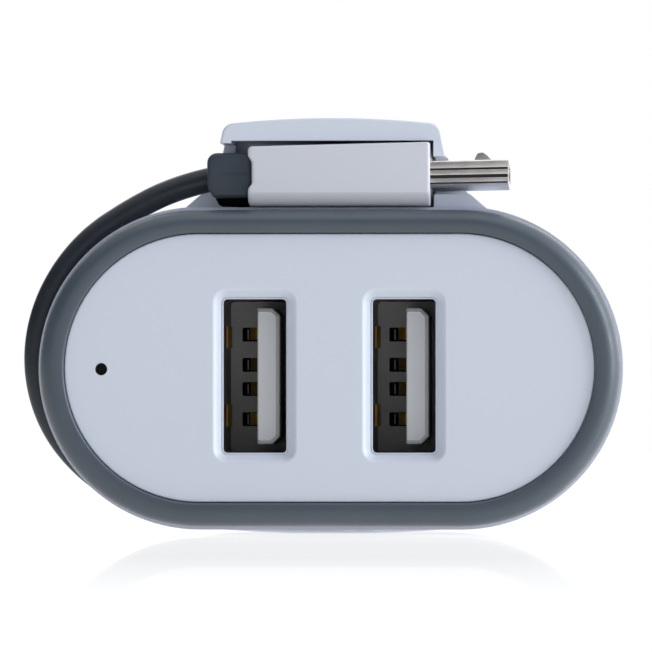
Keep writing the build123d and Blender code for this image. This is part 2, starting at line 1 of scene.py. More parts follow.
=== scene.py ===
"""The looks of the USB wall charger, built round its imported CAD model.

Lengths are in millimetres in the CAD model's frame, unless a name says otherwise. X runs left to
right seen from the front, Y from the front to the wall and Z up. The helpers turn them into metres.
"""
import json
import math

import bmesh
import bpy
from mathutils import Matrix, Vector
from mathutils.geometry import tessellate_polygon


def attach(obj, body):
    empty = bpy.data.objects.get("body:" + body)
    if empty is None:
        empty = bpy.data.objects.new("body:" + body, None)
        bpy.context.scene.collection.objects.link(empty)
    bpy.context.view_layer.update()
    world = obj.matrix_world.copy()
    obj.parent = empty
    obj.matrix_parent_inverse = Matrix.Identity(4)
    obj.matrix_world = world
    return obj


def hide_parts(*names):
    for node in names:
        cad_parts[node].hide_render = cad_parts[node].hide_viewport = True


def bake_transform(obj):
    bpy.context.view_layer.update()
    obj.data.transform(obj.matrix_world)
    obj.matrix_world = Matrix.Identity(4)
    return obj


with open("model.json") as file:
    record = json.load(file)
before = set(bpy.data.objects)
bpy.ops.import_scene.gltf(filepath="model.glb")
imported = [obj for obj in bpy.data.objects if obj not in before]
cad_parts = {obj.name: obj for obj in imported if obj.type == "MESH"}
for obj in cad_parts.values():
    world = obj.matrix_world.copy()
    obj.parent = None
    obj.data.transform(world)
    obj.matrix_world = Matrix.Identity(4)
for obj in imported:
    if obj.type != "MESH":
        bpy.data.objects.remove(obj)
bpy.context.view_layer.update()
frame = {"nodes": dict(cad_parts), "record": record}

MM = 0.001

# ---- Sizes shared with the CAD model ---------------------------------------
FRONT_Y = -21.0
MID_Z = 13.5
PORT_X = 6.08
PORT_Z = 12.85
PORT_OPENING = (5.12, 12.5)
SOCKET_FLOOR = 11.9
SOCKET_BACK = 14.6
CABLE_Y = -15.9
CABLE_RADIUS = 1.0
# X and Z of the points that control the cable's line, from under the dock round to the plug.
CABLE_ROUTE = (
    (7.6, 25.2),
    (13.7, 25.2),
    (19.4, 22.3),
    (22.6, 16.7),
    (22.6, 10.3),
    (19.4, 4.7),
    (13.8, 1.5),
    (4.6, 1.35),
    (-4.6, 1.35),
    (-13.8, 1.5),
    (-19.5, 4.5),
    (-23.1, 8.6),
    (-24.5, 13.8),
    (-23.55, 19.1),
    (-20.4, 23.85),
    (-15.75, 26.88),
    (-12.3, 28.42),
    (-10.0, 28.95),
)
# The docked plug is rolled a little about its length, and rises by this share towards its tip.
PLUG_Z = 29.22
PLUG_ROLL = math.radians(3.5)
PLUG_RISE = 0.019
SHELL_HALF_WIDTH = 3.425
CONTACT_OFFSETS = (-3.5, -1.0, 1.0, 3.5)


# ---- Camera, light and floor -----------------------------------------------
def make_camera():
    """A long lens a little right of the front and just below the level of the sockets."""
    view_width = 53.0
    distance = 680.0
    azimuth = math.radians(2.3)
    elevation = math.radians(-0.75)
    target = Vector((-0.24, FRONT_Y, 16.9))
    back = Vector(
        (
            math.sin(azimuth) * math.cos(elevation),
            -math.cos(azimuth) * math.cos(elevation),
            math.sin(elevation),
        )
    )
    lens = bpy.data.cameras.new("camera")
    lens.lens = lens.sensor_width * distance / view_width
    camera = bpy.data.objects.new("camera", lens)
    bpy.context.scene.collection.objects.link(camera)
    camera.location = (target + back * distance) * MM
    camera.rotation_mode = "QUATERNION"
    camera.rotation_quaternion = (-back).to_track_quat("-Z", "Y")
    bpy.context.scene.camera = camera


def make_world():
    """A white backdrop. Its light is bright from behind, the right and above, dim from the front and
    nearly dark from the left."""
    world = bpy.data.worlds.new("studio")
    bpy.context.scene.world = world
    world.use_nodes = True
    tree = world.node_tree
    tree.nodes.clear()
    add = tree.nodes.new
    link = tree.links.new
    direction = add("ShaderNodeTexCoord").outputs["Generated"]
    axes = add("ShaderNodeSeparateXYZ")
    link(direction, axes.inputs[0])
    front = (0.15, 0.165, 0.20, 1.0)
    # The axis of each zone, where along it the zone starts and is full, and its colour.
    zones = (
        ("X", 0.32, 0.78, (0.80, 0.85, 0.95, 1.0)),
        ("Y", 0.0, 0.5, (1.6, 1.62, 1.66, 1.0)),
        ("X", -0.30, -0.75, (0.05, 0.06, 0.07, 1.0)),
        ("Z", 0.55, 0.80, (0.80, 0.82, 0.86, 1.0)),
    )
    colour = None
    for axis, start, end, tone in zones:
        ease = add("ShaderNodeMapRange")
        ease.interpolation_type = "SMOOTHSTEP"
        ease.inputs["From Min"].default_value = start
        ease.inputs["From Max"].default_value = end
        link(axes.outputs[axis], ease.inputs["Value"])
        blend = add("ShaderNodeMixRGB")
        blend.inputs["Color1"].default_value = front
        blend.inputs["Color2"].default_value = tone
        link(ease.outputs["Result"], blend.inputs["Fac"])
        if colour is not None:
            link(colour, blend.inputs["Color1"])
        colour = blend.outputs["Color"]
    lighting = add("ShaderNodeBackground")
    link(colour, lighting.inputs["Color"])
    backdrop = add("ShaderNodeBackground")
    backdrop.inputs["Color"].default_value = (1.0, 1.0, 1.0, 1.0)
    seen = add("ShaderNodeLightPath")
    choose = add("ShaderNodeMixShader")
    link(seen.outputs["Is Camera Ray"], choose.inputs["Fac"])
    link(lighting.outputs[0], choose.inputs[1])
    link(backdrop.outputs[0], choose.inputs[2])
    output = add("ShaderNodeOutputWorld")
    link(choose.outputs[0], output.inputs["Surface"])


def make_softbox(name, place, aim, size, power, tone):
    """A rectangular soft light at a place, turned to a point."""
    light = bpy.data.lights.new(name, "AREA")
    light.shape = "RECTANGLE"
    light.size = size[0] * MM
    light.size_y = size[1] * MM
    light.energy = power
    light.color = tone
    box = bpy.data.objects.new(name, light)
    bpy.context.scene.collection.objects.link(box)
    box.location = Vector(place) * MM
    box.rotation_mode = "QUATERNION"
    box.rotation_quaternion = (Vector(aim) - Vector(place)).to_track_quat("-Z", "Y")


def make_floor():
    """A pale table top that glows a little by itself, with a faint, slightly blurred reflection.

    The reflection fades out towards the camera.
    """
    reach = 3000.0
    level = -0.02
    grey = (0.24, 0.24, 0.24, 1.0)
    own_glow = 0.85
    blur = 0.012
    mirror_share = 0.22
    mirror_starts, mirror_is_full = -330, -150
    corners = [(-reach, -reach), (reach, -reach), (reach, reach), (-reach, reach)]
    mesh = bpy.data.meshes.new("floor")
    mesh.from_pydata([(x * MM, y * MM, level * MM) for x, y in corners], [], [(0, 1, 2, 3)])
    floor = bpy.data.objects.new("floor", mesh)
    bpy.context.scene.collection.objects.link(floor)
    material = bpy.data.materials.new("table_top")
    material.use_nodes = True
    tree = material.node_tree
    tree.nodes.clear()
    matte = tree.nodes.new("ShaderNodeBsdfDiffuse")
    matte.inputs["Color"].default_value = grey
    glow = tree.nodes.new("ShaderNodeEmission")
    glow.inputs["Strength"].default_value = own_glow
    both = tree.nodes.new("ShaderNodeAddShader")
    tree.links.new(matte.outputs[0], both.inputs[0])
    tree.links.new(glow.outputs[0], both.inputs[1])
    mirror = tree.nodes.new("ShaderNodeBsdfGlossy")
    mirror.inputs["Roughness"].default_value = blur
    axes = tree.nodes.new("ShaderNodeSeparateXYZ")
    tree.links.new(tree.nodes.new("ShaderNodeTexCoord").outputs["Object"], axes.inputs[0])
    fade = tree.nodes.new("ShaderNodeMapRange")
    fade.inputs["From Min"].default_value = mirror_starts * MM
    fade.inputs["From Max"].default_value = mirror_is_full * MM
    fade.inputs["To Max"].default_value = mirror_share
    tree.links.new(axes.outputs["Y"], fade.inputs["Value"])
    top = tree.nodes.new("ShaderNodeMixShader")
    tree.links.new(fade.outputs["Result"], top.inputs["Fac"])
    tree.links.new(both.outputs[0], top.inputs[1])
    tree.links.new(mirror.outputs[0], top.inputs[2])
    output = tree.nodes.new("ShaderNodeOutputMaterial")
    tree.links.new(top.outputs[0], output.inputs["Surface"])
    mesh.materials.append(material)


bpy.context.scene.view_settings.view_transform = "Standard"
make_camera()
make_world()
make_softbox(
    "top_light",
    place=(60, -80, 420),
    aim=(0, -10, 10),
    size=(420, 300),
    power=0.12,
    tone=(1.0, 1.0, 1.0),
)
make_softbox(
    "right_light",
    place=(345, -88, 90),
    aim=(0, -15, 14),
    size=(200, 340),
    power=1.05,
    tone=(0.95, 0.98, 1.0),
)
make_floor()


# ---- Mesh helpers ------------------------------------------------------------
def from_front(x, z, depth):
    """A point from its X and Z and its depth behind the front of the bezel."""
    return (x, FRONT_Y + depth, z)


def on_plug(x, across, height):
    """A point from the rolled plug's own length, width and height. Its tip rises a little."""
    middle_of_shell = 11.4
    level = PLUG_Z + PLUG_RISE * (x - middle_of_shell)
    return (
        x,
        CABLE_Y + across * math.cos(PLUG_ROLL) + height * math.sin(PLUG_ROLL),
        level - across * math.sin(PLUG_ROLL) + height * math.cos(PLUG_ROLL),
    )


def rounded(corners, radii, steps):
    """A closed anticlockwise outline with rounded corners: (u, v, normal u, normal v) all round."""
    if isinstance(radii, (int, float)):
        radii = [radii] * len(corners)
    outline = []
    count = len(corners)
    for index, radius in enumerate(radii):
        here = Vector(corners[index])
        into = (here - Vector(corners[index - 1])).normalized()
        away = (Vector(corners[(index + 1) % count]) - here).normalized()
        turn = math.atan2(into.x * away.y - into.y * away.x, into.dot(away))
        side = 1 if turn > 0 else -1
        centre = here - into * radius * math.tan(abs(turn) / 2) + side * radius * Vector((-into.y, into.x))
        first = math.atan2(-into.x, into.y)
        pieces = max(2, round(steps * abs(turn) / (math.pi / 2)))
        for step in range(pieces + 1):
            angle = first + turn * step / pieces
            normal = Vector((math.cos(angle), math.sin(angle)))
            point = centre + side * radius * normal
            outline.append((point.x, point.y, normal.x, normal.y))
    return outline


def rectangle(width, height, centre, radius, steps):
    """The rounded outline of an upright rectangle."""
    half_width, half_height = width / 2, height / 2
    corners = [
        (centre[0] - half_width, centre[1] - half_height),
        (centre[0] + half_width, centre[1] - half_height),
        (centre[0] + half_width, centre[1] + half_height),
        (centre[0] - half_width, centre[1] + half_height),
    ]
    return rounded(corners, radius, steps)


def stadium(half_straight, radius, steps=40):
    """The outline of an oblong with full-round ends, about the middle of the bezel."""
    outline = []
    for side, first in ((1, -math.pi / 2), (-1, math.pi / 2)):
        for step in range(steps + 1):
            angle = first + math.pi * step / steps
            normal = (math.cos(angle), math.sin(angle))
            outline.append(
                (
                    side * half_straight + radius * normal[0],
                    MID_Z + radius * normal[1],
                    normal[0],
                    normal[1],
                )
            )
    return outline


def quarter(start, end, bulge_first, steps):
    """Points of a quarter ellipse from start to end, which leaves start along its first or second axis."""
    points = []
    for step in range(1, steps + 1):
        angle = math.pi / 2 * step / steps
        rise, run = math.sin(angle), 1 - math.cos(angle)
        shares = (rise, run) if bulge_first else (run, rise)
        points.append(
            (
                start[0] + (end[0] - start[0]) * shares[0],
                start[1] + (end[1] - start[1]) * shares[1],
            )
        )
    return points


class Shape:
    """Gathers a piece's points and faces."""

    def __init__(self):
        self.points = []
        self.faces = []

    def ring(self, points):
        """Adds points and returns their numbers."""
        first = len(self.points)
        self.points.extend(points)
        return list(range(first, len(self.points)))

    def bridge(self, ring, other):
        """Joins two closed rings of the same length with quads."""
        count = len(ring)
        for index in range(count):
            following = (index + 1) % count
            self.faces.append((ring[index], ring[following], other[following], other[index]))

    def sweep(self, outline, profile, place, closed=False):
        """Carries a profile of (offset, third coordinate) round an outline and returns its rings."""
        rings = [
            self.ring([place(u + nu * offset, v + nv * offset, third) for u, v, nu, nv in outline])
            for offset, third in profile
        ]
        for ring, other in zip(rings, rings[1:]):
            self.bridge(ring, other)
        if closed:
            self.bridge(rings[-1], rings[0])
        return rings

    def fill(self, *rings):
        """Fills a flat face inside the first ring, with the other rings as its holes."""
        numbers = [number for ring in rings for number in ring]
        loops = [[Vector(self.points[number]) for number in ring] for ring in rings]
        for triangle in tessellate_polygon(loops):
            self.faces.append(tuple(numbers[corner] for corner in triangle))

    def block(self, outline, low, high, rounding, place, steps):
        """A closed solid: an outline carried from low to high, with rounded rims."""
        profile = [(-rounding, low)]
        profile += quarter((-rounding, low), (0, low + rounding), True, steps)
        profile += [(0, high - rounding)]
        profile += quarter((0, high - rounding), (-rounding, high), False, steps)
        rings = self.sweep(outline, profile, place)
        self.fill(rings[0])
        self.fill(rings[-1])


def make_piece(name, shape, material, body, replaces=(), sharp=40.0):
    """Turns a shape into an object in the frame that rides on a body.

    Edges sharper than an angle in degrees stay crisp, and points closer than same_point are joined.
    """
    same_point = 1e-8
    no_length = 1e-9
    mesh = bpy.data.meshes.new(name)
    scaled = [tuple(value * MM for value in point) for point in shape.points]
    mesh.from_pydata(scaled, [], shape.faces)
    tidy = bmesh.new()
    tidy.from_mesh(mesh)
    bmesh.ops.remove_doubles(tidy, verts=tidy.verts, dist=same_point)
    bmesh.ops.dissolve_degenerate(tidy, dist=no_length, edges=tidy.edges)
    bmesh.ops.recalc_face_normals(tidy, faces=tidy.faces)
    tidy.to_mesh(mesh)
    tidy.free()
    for polygon in mesh.polygons:
        polygon.use_smooth = True
    mesh.set_sharp_from_angle(angle=math.radians(sharp))
    mesh.materials.append(material)
    piece = bpy.data.objects.new(name, mesh)
    bpy.context.scene.collection.objects.link(piece)
    if body:
        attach(piece, body)
    if replaces:
        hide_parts(*replaces)
    return piece


# ---- Materials ---------------------------------------------------------------
class Surface:
    """A principled material whose colour, roughness and relief come from noise in object space."""

    def __init__(self, name, colour, roughness, **sockets):
        self.material = bpy.data.materials.new(name)
        self.material.use_nodes = True
        self.tree = self.material.node_tree
        self.shader = self.tree.nodes["Principled BSDF"]
        self.shader.inputs["Base Color"].default_value = (*colour, 1.0)
        self.shader.inputs["Roughness"].default_value = roughness
        for socket, value in sockets.items():
            self.shader.inputs[socket.replace("_", " ")].default_value = value
        self.place = self.tree.nodes.new("ShaderNodeTexCoord").outputs["Object"]
        self.relief = None

    def stretched(self, x, y, z):
        """Object space with each axis scaled, for grain that runs one way."""
        mapping = self.tree.nodes.new("ShaderNodeMapping")
        mapping.inputs["Scale"].default_value = (x, y, z)
        self.tree.links.new(self.place, mapping.inputs["Vector"])
        return mapping.outputs["Vector"]

    def noise(self, size, detail=3.0, space=None):
        """Noise whose features are about this many millimetres across."""
        texture = self.tree.nodes.new("ShaderNodeTexNoise")
        texture.inputs["Scale"].default_value = 1 / (size * MM)
        texture.inputs["Detail"].default_value = detail
        self.tree.links.new(space or self.place, texture.inputs["Vector"])
        return texture.outputs["Fac"]

    def colours(self, factor, low, high, span=(0.3, 0.7)):
        """Runs the base colour from low to high."""
        ramp = self.tree.nodes.new("ShaderNodeValToRGB")
        for element, position, tone in zip(ramp.color_ramp.elements, span, (low, high)):
            element.position = position
            element.color = (*tone, 1.0)
        self.tree.links.new(factor, ramp.inputs["Fac"])
        self.tree.links.new(ramp.outputs["Color"], self.shader.inputs["Base Color"])
        return self

    def roughness(self, factor, low, high):
        """Runs the roughness from low to high over the noise's usual range."""
        noise_low, noise_high = 0.3, 0.7
        ranged = self.tree.nodes.new("ShaderNodeMapRange")
        ranged.inputs["From Min"].default_value = noise_low
        ranged.inputs["From Max"].default_value = noise_high
        ranged.inputs["To Min"].default_value = low
        ranged.inputs["To Max"].default_value = high
        self.tree.links.new(factor, ranged.inputs["Value"])
        self.tree.links.new(ranged.outputs["Result"], self.shader.inputs["Roughness"])
        return self

    def bump(self, factor, height):
        """Raises the surface by height, in millimetres, on top of any relief already there."""
        node = self.tree.nodes.new("ShaderNodeBump")
        node.inputs["Distance"].default_value = height * MM
        node.inputs["Strength"].default_value = 1.0
        self.tree.links.new(factor, node.inputs["Height"])
        if self.relief is not None:
            self.tree.links.new(self.relief, node.inputs["Normal"])
        self.relief = node.outputs["Normal"]
        self.tree.links.new(self.relief, self.shader.inputs["Normal"])
        return self


def scaled(colour, share):
    """A colour made lighter or darker."""
    return tuple(min(1.0, value * share) for value in colour)


def plastic(name, colour, roughness, grain, grain_height, spread, uneven=0.15, **sockets):
    """Moulded plastic: fine grain, slow colour drift and a little uneven polish.

    Grain and its height are in millimetres. Spread and uneven are shares of the colour and roughness.
    """
    drift_size = 6.0
    polish_size = 1.6
    surface = Surface(name, colour, roughness, **sockets)
    drift = surface.noise(drift_size)
    surface.colours(drift, scaled(colour, 1 - spread), scaled(colour, 1 + spread))
    polish = surface.noise(polish_size)
    surface.roughness(polish, roughness * (1 - uneven), roughness * (1 + uneven))
    surface.bump(surface.noise(grain, 2.0), grain_height)
    return surface.material


def metal(name, colour, roughness, along):
    """Rolled sheet metal: a fine grain drawn out along one axis, with slightly uneven tarnish."""
    spread = 0.12
    tarnish_size = 1.8
    grain_size, grain_height, grain_squeeze = 0.12, 0.0010, 0.08
    smoother, rougher = 0.88, 1.15
    surface = Surface(name, colour, roughness, Metallic=1.0)
    stretch = [1.0, 1.0, 1.0]
    stretch["XYZ".index(along)] = grain_squeeze
    grain = surface.noise(grain_size, 2.0, surface.stretched(*stretch))
    tarnish = surface.noise(tarnish_size)
    surface.colours(tarnish, scaled(colour, 1 - spread), scaled(colour, 1 + spread))
    surface.roughness(grain, roughness * smoother, roughness * rougher)
    surface.bump(grain, grain_height)
    return surface.material


def board(name):
    """Green solder mask over copper, with pale traces and a fibre weave."""
    mask, trace = (0.012, 0.10, 0.035), (0.045, 0.22, 0.09)
    trace_size, weave_size, weave_height = 1.4, 0.3, 0.01
    surface = Surface(name, (0.02, 0.13, 0.05), 0.35, Coat_Weight=0.4)
    surface.colours(surface.noise(trace_size, 0.0), mask, trace, span=(0.47, 0.53))
    surface.bump(surface.noise(weave_size), weave_height)
    return surface.material


def winding(name, colour):
    """Turns of wire or tape side by side, one above the other."""
    turn_size, turn_height = 1.2, 0.04
    surface = Surface(name, colour, 0.4)
    wave = surface.tree.nodes.new("ShaderNodeTexWave")
    wave.bands_direction = "Z"
    wave.inputs["Scale"].default_value = 1 / (turn_size * MM)
    wave.inputs["Distortion"].default_value = 0.6
    surface.tree.links.new(surface.place, wave.inputs["Vector"])
    surface.colours(wave.outputs["Fac"], scaled(colour, 0.7), scaled(colour, 1.15), span=(0.0, 1.0))
    surface.bump(wave.outputs["Fac"], turn_height)
    return surface.material


WHITE = (0.73, 0.775, 0.87)
# One look for each material slot of the CAD model.
MATERIALS = {
    "white_gloss": plastic("gloss_white", WHITE, 0.28, 0.25, 0.00004, 0.004, 0.02, Coat_Weight=0.15),
    "white_case": plastic("satin_white", (0.725, 0.75, 0.865), 0.45, 0.20, 0.0002, 0.006, 0.03),
    "grey_bumper": plastic(
        "soft_touch_grey", (0.073, 0.095, 0.118), 0.40, 0.20, 0.003, 0.04, Specular_IOR_Level=0.65
    ),
    "grey_jacket": plastic("cable_jacket", (0.017, 0.024, 0.033), 0.42, 0.30, 0.005, 0.10),
    "grey_collar": plastic("collar_rubber", (0.038, 0.052, 0.070), 0.46, 0.18, 0.005, 0.08),
    "nickel_shell": metal("nickel_plate", (0.90, 0.84, 0.78), 0.30, "X"),
    "grey_insulator": plastic("socket_insulator", (0.68, 0.695, 0.70), 0.42, 0.22, 0.002, 0.03),
    "black_insulator": plastic("black_insulator", (0.022, 0.022, 0.024), 0.38, 0.25, 0.005, 0.10),
    "gold_contact": metal("gold_plate", (0.95, 0.64, 0.22), 0.36, "Y"),
    "blade_brass": metal("nickel_blade", (0.66, 0.64, 0.60), 0.26, "Z"),
    "spring_bronze": metal("bronze_spring", (0.55, 0.35, 0.14), 0.36, "X"),
    "smoked_lens": plastic(
        "smoked_lens", (0.003, 0.003, 0.004), 0.3, 0.5, 0.001, 0.05, Specular_IOR_Level=0.15
    ),
    "led_body": plastic("led_body", (0.72, 0.70, 0.55), 0.35, 0.3, 0.003, 0.05),
    "board_green": board("solder_mask"),
    "ferrite": plastic("ferrite", (0.040, 0.038, 0.040), 0.60, 0.15, 0.02, 0.15),
    "bobbin_black": plastic("bobbin_resin", (0.025, 0.025, 0.028), 0.45, 0.25, 0.006, 0.10),
    "winding_tape": winding("yellow_tape", (0.62, 0.47, 0.06)),
    "capacitor_can": plastic("sleeved_can", (0.045, 0.050, 0.085), 0.32, 0.4, 0.003, 0.10),
    "safety_blue": plastic("dipped_epoxy", (0.035, 0.13, 0.34), 0.28, 0.6, 0.010, 0.08),
    "fuse_sleeve": plastic("fuse_sleeve", (0.30, 0.20, 0.12), 0.35, 0.3, 0.004, 0.08),
    "choke_wire": winding("enamelled_wire", (0.45, 0.17, 0.05)),
    "chip_black": plastic("chip_resin", (0.028, 0.028, 0.030), 0.55, 0.12, 0.010, 0.10),
    "barrier_sheet": plastic("barrier_sheet", (0.55, 0.50, 0.38), 0.50, 0.3, 0.006, 0.05),
    "lead_insulation": plastic("lead_insulation", (0.35, 0.03, 0.03), 0.38, 0.3, 0.004, 0.08),
}
GRIP_WHITE = plastic("grip_white", (0.705, 0.72, 0.775), 0.30, 0.25, 0.00004, 0.004, 0.02, Coat_Weight=0.1)
# Near-black tone for the strips in the shell's seams: painted shade.
SEAM_PAINTED_SHADE = plastic("seam_painted_shade", (0.030, 0.027, 0.025), 0.6, 0.25, 0.003, 0.15, Specular_IOR_Level=0.2)
# Dull grey for the lap under the shell: painted shade for the underside.
LAP_PAINTED_SHADE = plastic(
    "lap_painted_shade", (0.40, 0.41, 0.45), 0.50, 0.25, 0.010, 0.35, Specular_IOR_Level=0.3
)
# Near-black for the root under the collar: painted shade.
ROOT_PAINTED_SHADE = plastic(
    "relief_root_painted_shade", (0.002, 0.002, 0.003), 0.8, 0.2, 0.004, 0.10, Specular_IOR_Level=0.1
)
# Near-black for the slot hollows: painted shade.
HOLLOW_PAINTED_SHADE = plastic("hollow_painted_shade", (0.004, 0.004, 0.004), 0.7, 0.3, 0.004, 0.10)
# A darker steel for the socket shells: painted shade for their dark inside.
SOCKET_STEEL_PAINTED_SHADE = metal("socket_steel_painted_shade", (0.20, 0.19, 0.18), 0.42, "Y")
# The CAD model's own pieces take the look of their slot, and the socket shells a darker steel, painted
# shade for the dark reflections inside the sockets.
for subpart in frame["record"]["subparts"]:
    cad_mesh = frame["nodes"][subpart["node"]].data
    cad_mesh.materials.clear()
    cad_mesh.materials.append(MATERIALS[subpart["material_slot"]])
for socket_shell in ("usb_shell_left", "usb_shell_right"):
    frame["nodes"][socket_shell].data.materials[0] = SOCKET_STEEL_PAINTED_SHADE


# ---- Captive cable -----------------------------------------------------------
def smooth_line(route):
    """Points along the smooth line that a route's points control, in millimetres."""
    line = bpy.data.curves.new("cable_line", "CURVE")
    line.dimensions = "3D"
    line.resolution_u = 14
    spline = line.splines.new("NURBS")
    spline.points.add(len(route) - 1)
    for point, (x, z) in zip(spline.points, route):
        point.co = (x, CABLE_Y, z, 1.0)
    spline.order_u = 3
    spline.use_endpoint_u = True
    holder = bpy.data.objects.new("cable_line", line)
    mesh = bpy.data.meshes.new_from_object(holder)
    points = [vertex.co.copy() for vertex in mesh.vertices]
    bpy.data.objects.remove(holder)
    bpy.data.meshes.remove(mesh)
    bpy.data.curves.remove(line)
    return points


def make_cable():
    """The round jacketed cable, from inside the bridge under the dock, round its groove to the plug."""
    sides = 28
    points = smooth_line(CABLE_ROUTE)
    sideways = Vector((0.0, 1.0, 0.0))
    shape = Shape()
    rings = []
    for index, point in enumerate(points):
        ahead = points[min(index + 1, len(points) - 1)]
        behind = points[max(index - 1, 0)]
        outward = (ahead - behind).normalized().cross(sideways)
        spokes = [
            outward * math.cos(math.tau * side / sides) + sideways * math.sin(math.tau * side / sides)
            for side in range(sides)
        ]
        rings.append(shape.ring([tuple(point + spoke * CABLE_RADIUS) for spoke in spokes]))
    for ring, other in zip(rings, rings[1:]):
        shape.bridge(ring, other)
    shape.fill(rings[0])
    shape.fill(rings[-1])
    cable = make_piece(
        "cable", shape, MATERIALS["grey_jacket"], None, ("cable_wrap", "cable_tail")
    )
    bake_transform(cable)
    return cable, [point * MM for point in points]


cable, cable_points = make_cable()


# ---- Front: plate, bumper and socket insides ---------------------------------
def make_port_plate():
    """The glossy face: soft mouths that sink to a crisp lip round each opening, and the pinhole."""
    front, back = 0.45, 2.45
    shell_room = 1.30
    shell_gap = 0.36
    edge = 0.12
    corner = 0.32
    half_straight, end_radius = 10.67, 10.92
    hole_x, hole_z, hole_radius, hole_points = -18.6, 13.4, 0.5, 36
    shape = Shape()
    rim = [(-edge - 0.1, front), (-edge, front)]
    rim += quarter((-edge, front), (0, front + edge), True, 6) + [(0, back)]
    rings = shape.sweep(stadium(half_straight, end_radius), rim, from_front)
    front_rings, back_rings = [rings[0]], [rings[-1]]
    # Distance out from the opening and depth: a soft slope, a raised lip, then the wall.
    mouth = [
        (1.00, front),
        (0.90, front),
        (0.84, front + 0.006),
        (0.76, front + 0.05),
        (0.64, front + 0.15),
        (0.47, front + 0.32),
        (0.30, front + 0.51),
        (0.17, front + 0.65),
        (0.120, front + 0.68),
        (0.108, front + 0.63),
        (0.090, front + 0.59),
        (0.060, front + 0.57),
        (0.030, front + 0.585),
        (0.008, front + 0.62),
        (0.0, front + 0.70),
        (0.0, shell_room),
        (shell_gap, shell_room),
        (shell_gap, back),
    ]
    for side in (-1, 1):
        outline = rectangle(*PORT_OPENING, (side * PORT_X, PORT_Z), corner, 6)
        rings = shape.sweep(outline, mouth, from_front)
        front_rings.append(rings[0])
        back_rings.append(rings[-1])
    pinhole = [
        (0.24, front),
        (0.14, front),
        (0.09, front - 0.012),
        (0.03, front),
        (0.0, front + 0.05),
        (0.0, back),
    ]
    circle = []
    for index in range(hole_points):
        angle = math.tau * index / hole_points
        c, s = math.cos(angle), math.sin(angle)
        circle.append((hole_x + hole_radius * c, hole_z + hole_radius * s, c, s))
    rings = shape.sweep(circle, pinhole, from_front)
    front_rings.append(rings[0])
    back_rings.append(rings[-1])
    shape.fill(*front_rings)
    shape.fill(*back_rings)
    return make_piece(
        "port_plate", shape, MATERIALS["white_gloss"], "charger", ("front_plate",)
    )


def make_bumper():
    """The soft ring round the plate: a flat face that rolls over towards the flange."""
    half_straight, inner_radius = 10.63, 10.98
    reach = 2.06
    rolled = 0.14
    shape = Shape()
    profile = [(0.0, 2.86), (0.0, 0.40)]
    profile += quarter((0.0, 0.40), (0.20, 0.06), False, 5)
    profile += [(0.40, 0.02), (0.60, 0.0), (0.80, 0.0)]
    profile += quarter((0.86, 0.0), (2.02, 1.5), True, 14)
    profile += [(2.04, 1.9), (reach, 2.5), (reach, 2.7), (2.0, 2.86)]

    def squashed(x, z, depth):
        """Draws the outer edge in a little above and below, so that the flange shows there."""
        height = z - MID_Z
        share = max(0.0, abs(height) - inner_radius) / reach
        return from_front(x, z - math.copysign(rolled * share, height), depth)

    shape.sweep(stadium(half_straight, inner_radius, 56), profile, squashed, closed=True)
    return make_piece(
        "bumper", shape, MATERIALS["grey_bumper"], "charger", ("bezel_ring",)
    )


def slot_outline(middle_x, offset):
    """The outline of the slot in a socket's floor beside one contact."""
    return rectangle(1.55, 1.15, (middle_x - 0.78, PORT_Z + offset), 0.08, 2)


def make_socket_insert(side_name, side):
    """The insulator: a floor with a slot and a rib beside each contact, and the bevelled tongue."""
    centre = (side * PORT_X, PORT_Z)
    clearance = 0.08
    rib_width, rib_height, rib_offset = 0.09, 0.86, -1.08
    shape = Shape()
    outer = rectangle(PORT_OPENING[0] - clearance, PORT_OPENING[1] - clearance, centre, 0.35, 4)
    rings = shape.sweep(outer, [(0.0, SOCKET_FLOOR), (0.0, SOCKET_BACK)], from_front)
    floor_rings = [rings[0]]
    shape.fill(rings[1])
    for offset in CONTACT_OFFSETS:
        slot = slot_outline(centre[0], offset)
        slot_rings = shape.sweep(slot, [(0.0, SOCKET_FLOOR), (0.0, SOCKET_FLOOR + 0.25)], from_front)
        floor_rings.append(slot_rings[0])
        rib_centre = (centre[0] + rib_offset, centre[1] + offset)
        rib = rectangle(rib_width, rib_height, rib_centre, 0.02, 2)
        shape.block(rib, SOCKET_FLOOR - 0.1, SOCKET_FLOOR + 0.6, 0.02, from_front, 2)
    shape.fill(*floor_rings)
    left, right = centre[0] + 0.12, centre[0] + 1.96
    bottom, top = centre[1] - 5.55, centre[1] + 5.55
    cut = 0.62
    # How far the tongue is drawn in, and at what depth, from its face back to the floor.
    nose = ((0.36, 2.64), (0.32, 2.60), (0.06, 2.80), (0.0, 2.92), (0.0, SOCKET_FLOOR + 0.1))
    rings = []
    for inset, depth in nose:
        corners = [
            (left + inset / 4, bottom + inset),
            (right - cut - inset / 3, bottom + inset),
            (right - inset, bottom + cut + inset / 3),
            (right - inset, top - cut - inset / 3),
            (right - cut - inset / 3, top - inset),
            (left + inset / 4, top - inset),
        ]
        outline = rounded(corners, 0.12, 4)
        rings.append(shape.ring([from_front(x, z, depth) for x, z, _, _ in outline]))
    for ring, other in zip(rings, rings[1:]):
        shape.bridge(ring, other)
    shape.fill(rings[0])
    shape.fill(rings[-1])
    return make_piece(
        f"socket_insert_{side_name}",
        shape,
        MATERIALS["grey_insulator"],
        "charger",
        (f"usb_insulator_{side_name}",),
        sharp=25.0,
    )


def make_slot_shade(side_name, side):
    """Near-black linings behind the slots in a socket's floor: painted shade for the hollows."""
    shape = Shape()
    for offset in CONTACT_OFFSETS:
        outline = slot_outline(side * PORT_X, offset)
        rings = shape.sweep(
            outline, [(0.0, SOCKET_FLOOR + 0.2), (0.0, SOCKET_BACK - 0.2)], from_front
        )
        shape.fill(rings[1])
    return make_piece(
        f"slot_painted_shade_{side_name}", shape, HOLLOW_PAINTED_SHADE, "charger"
    )


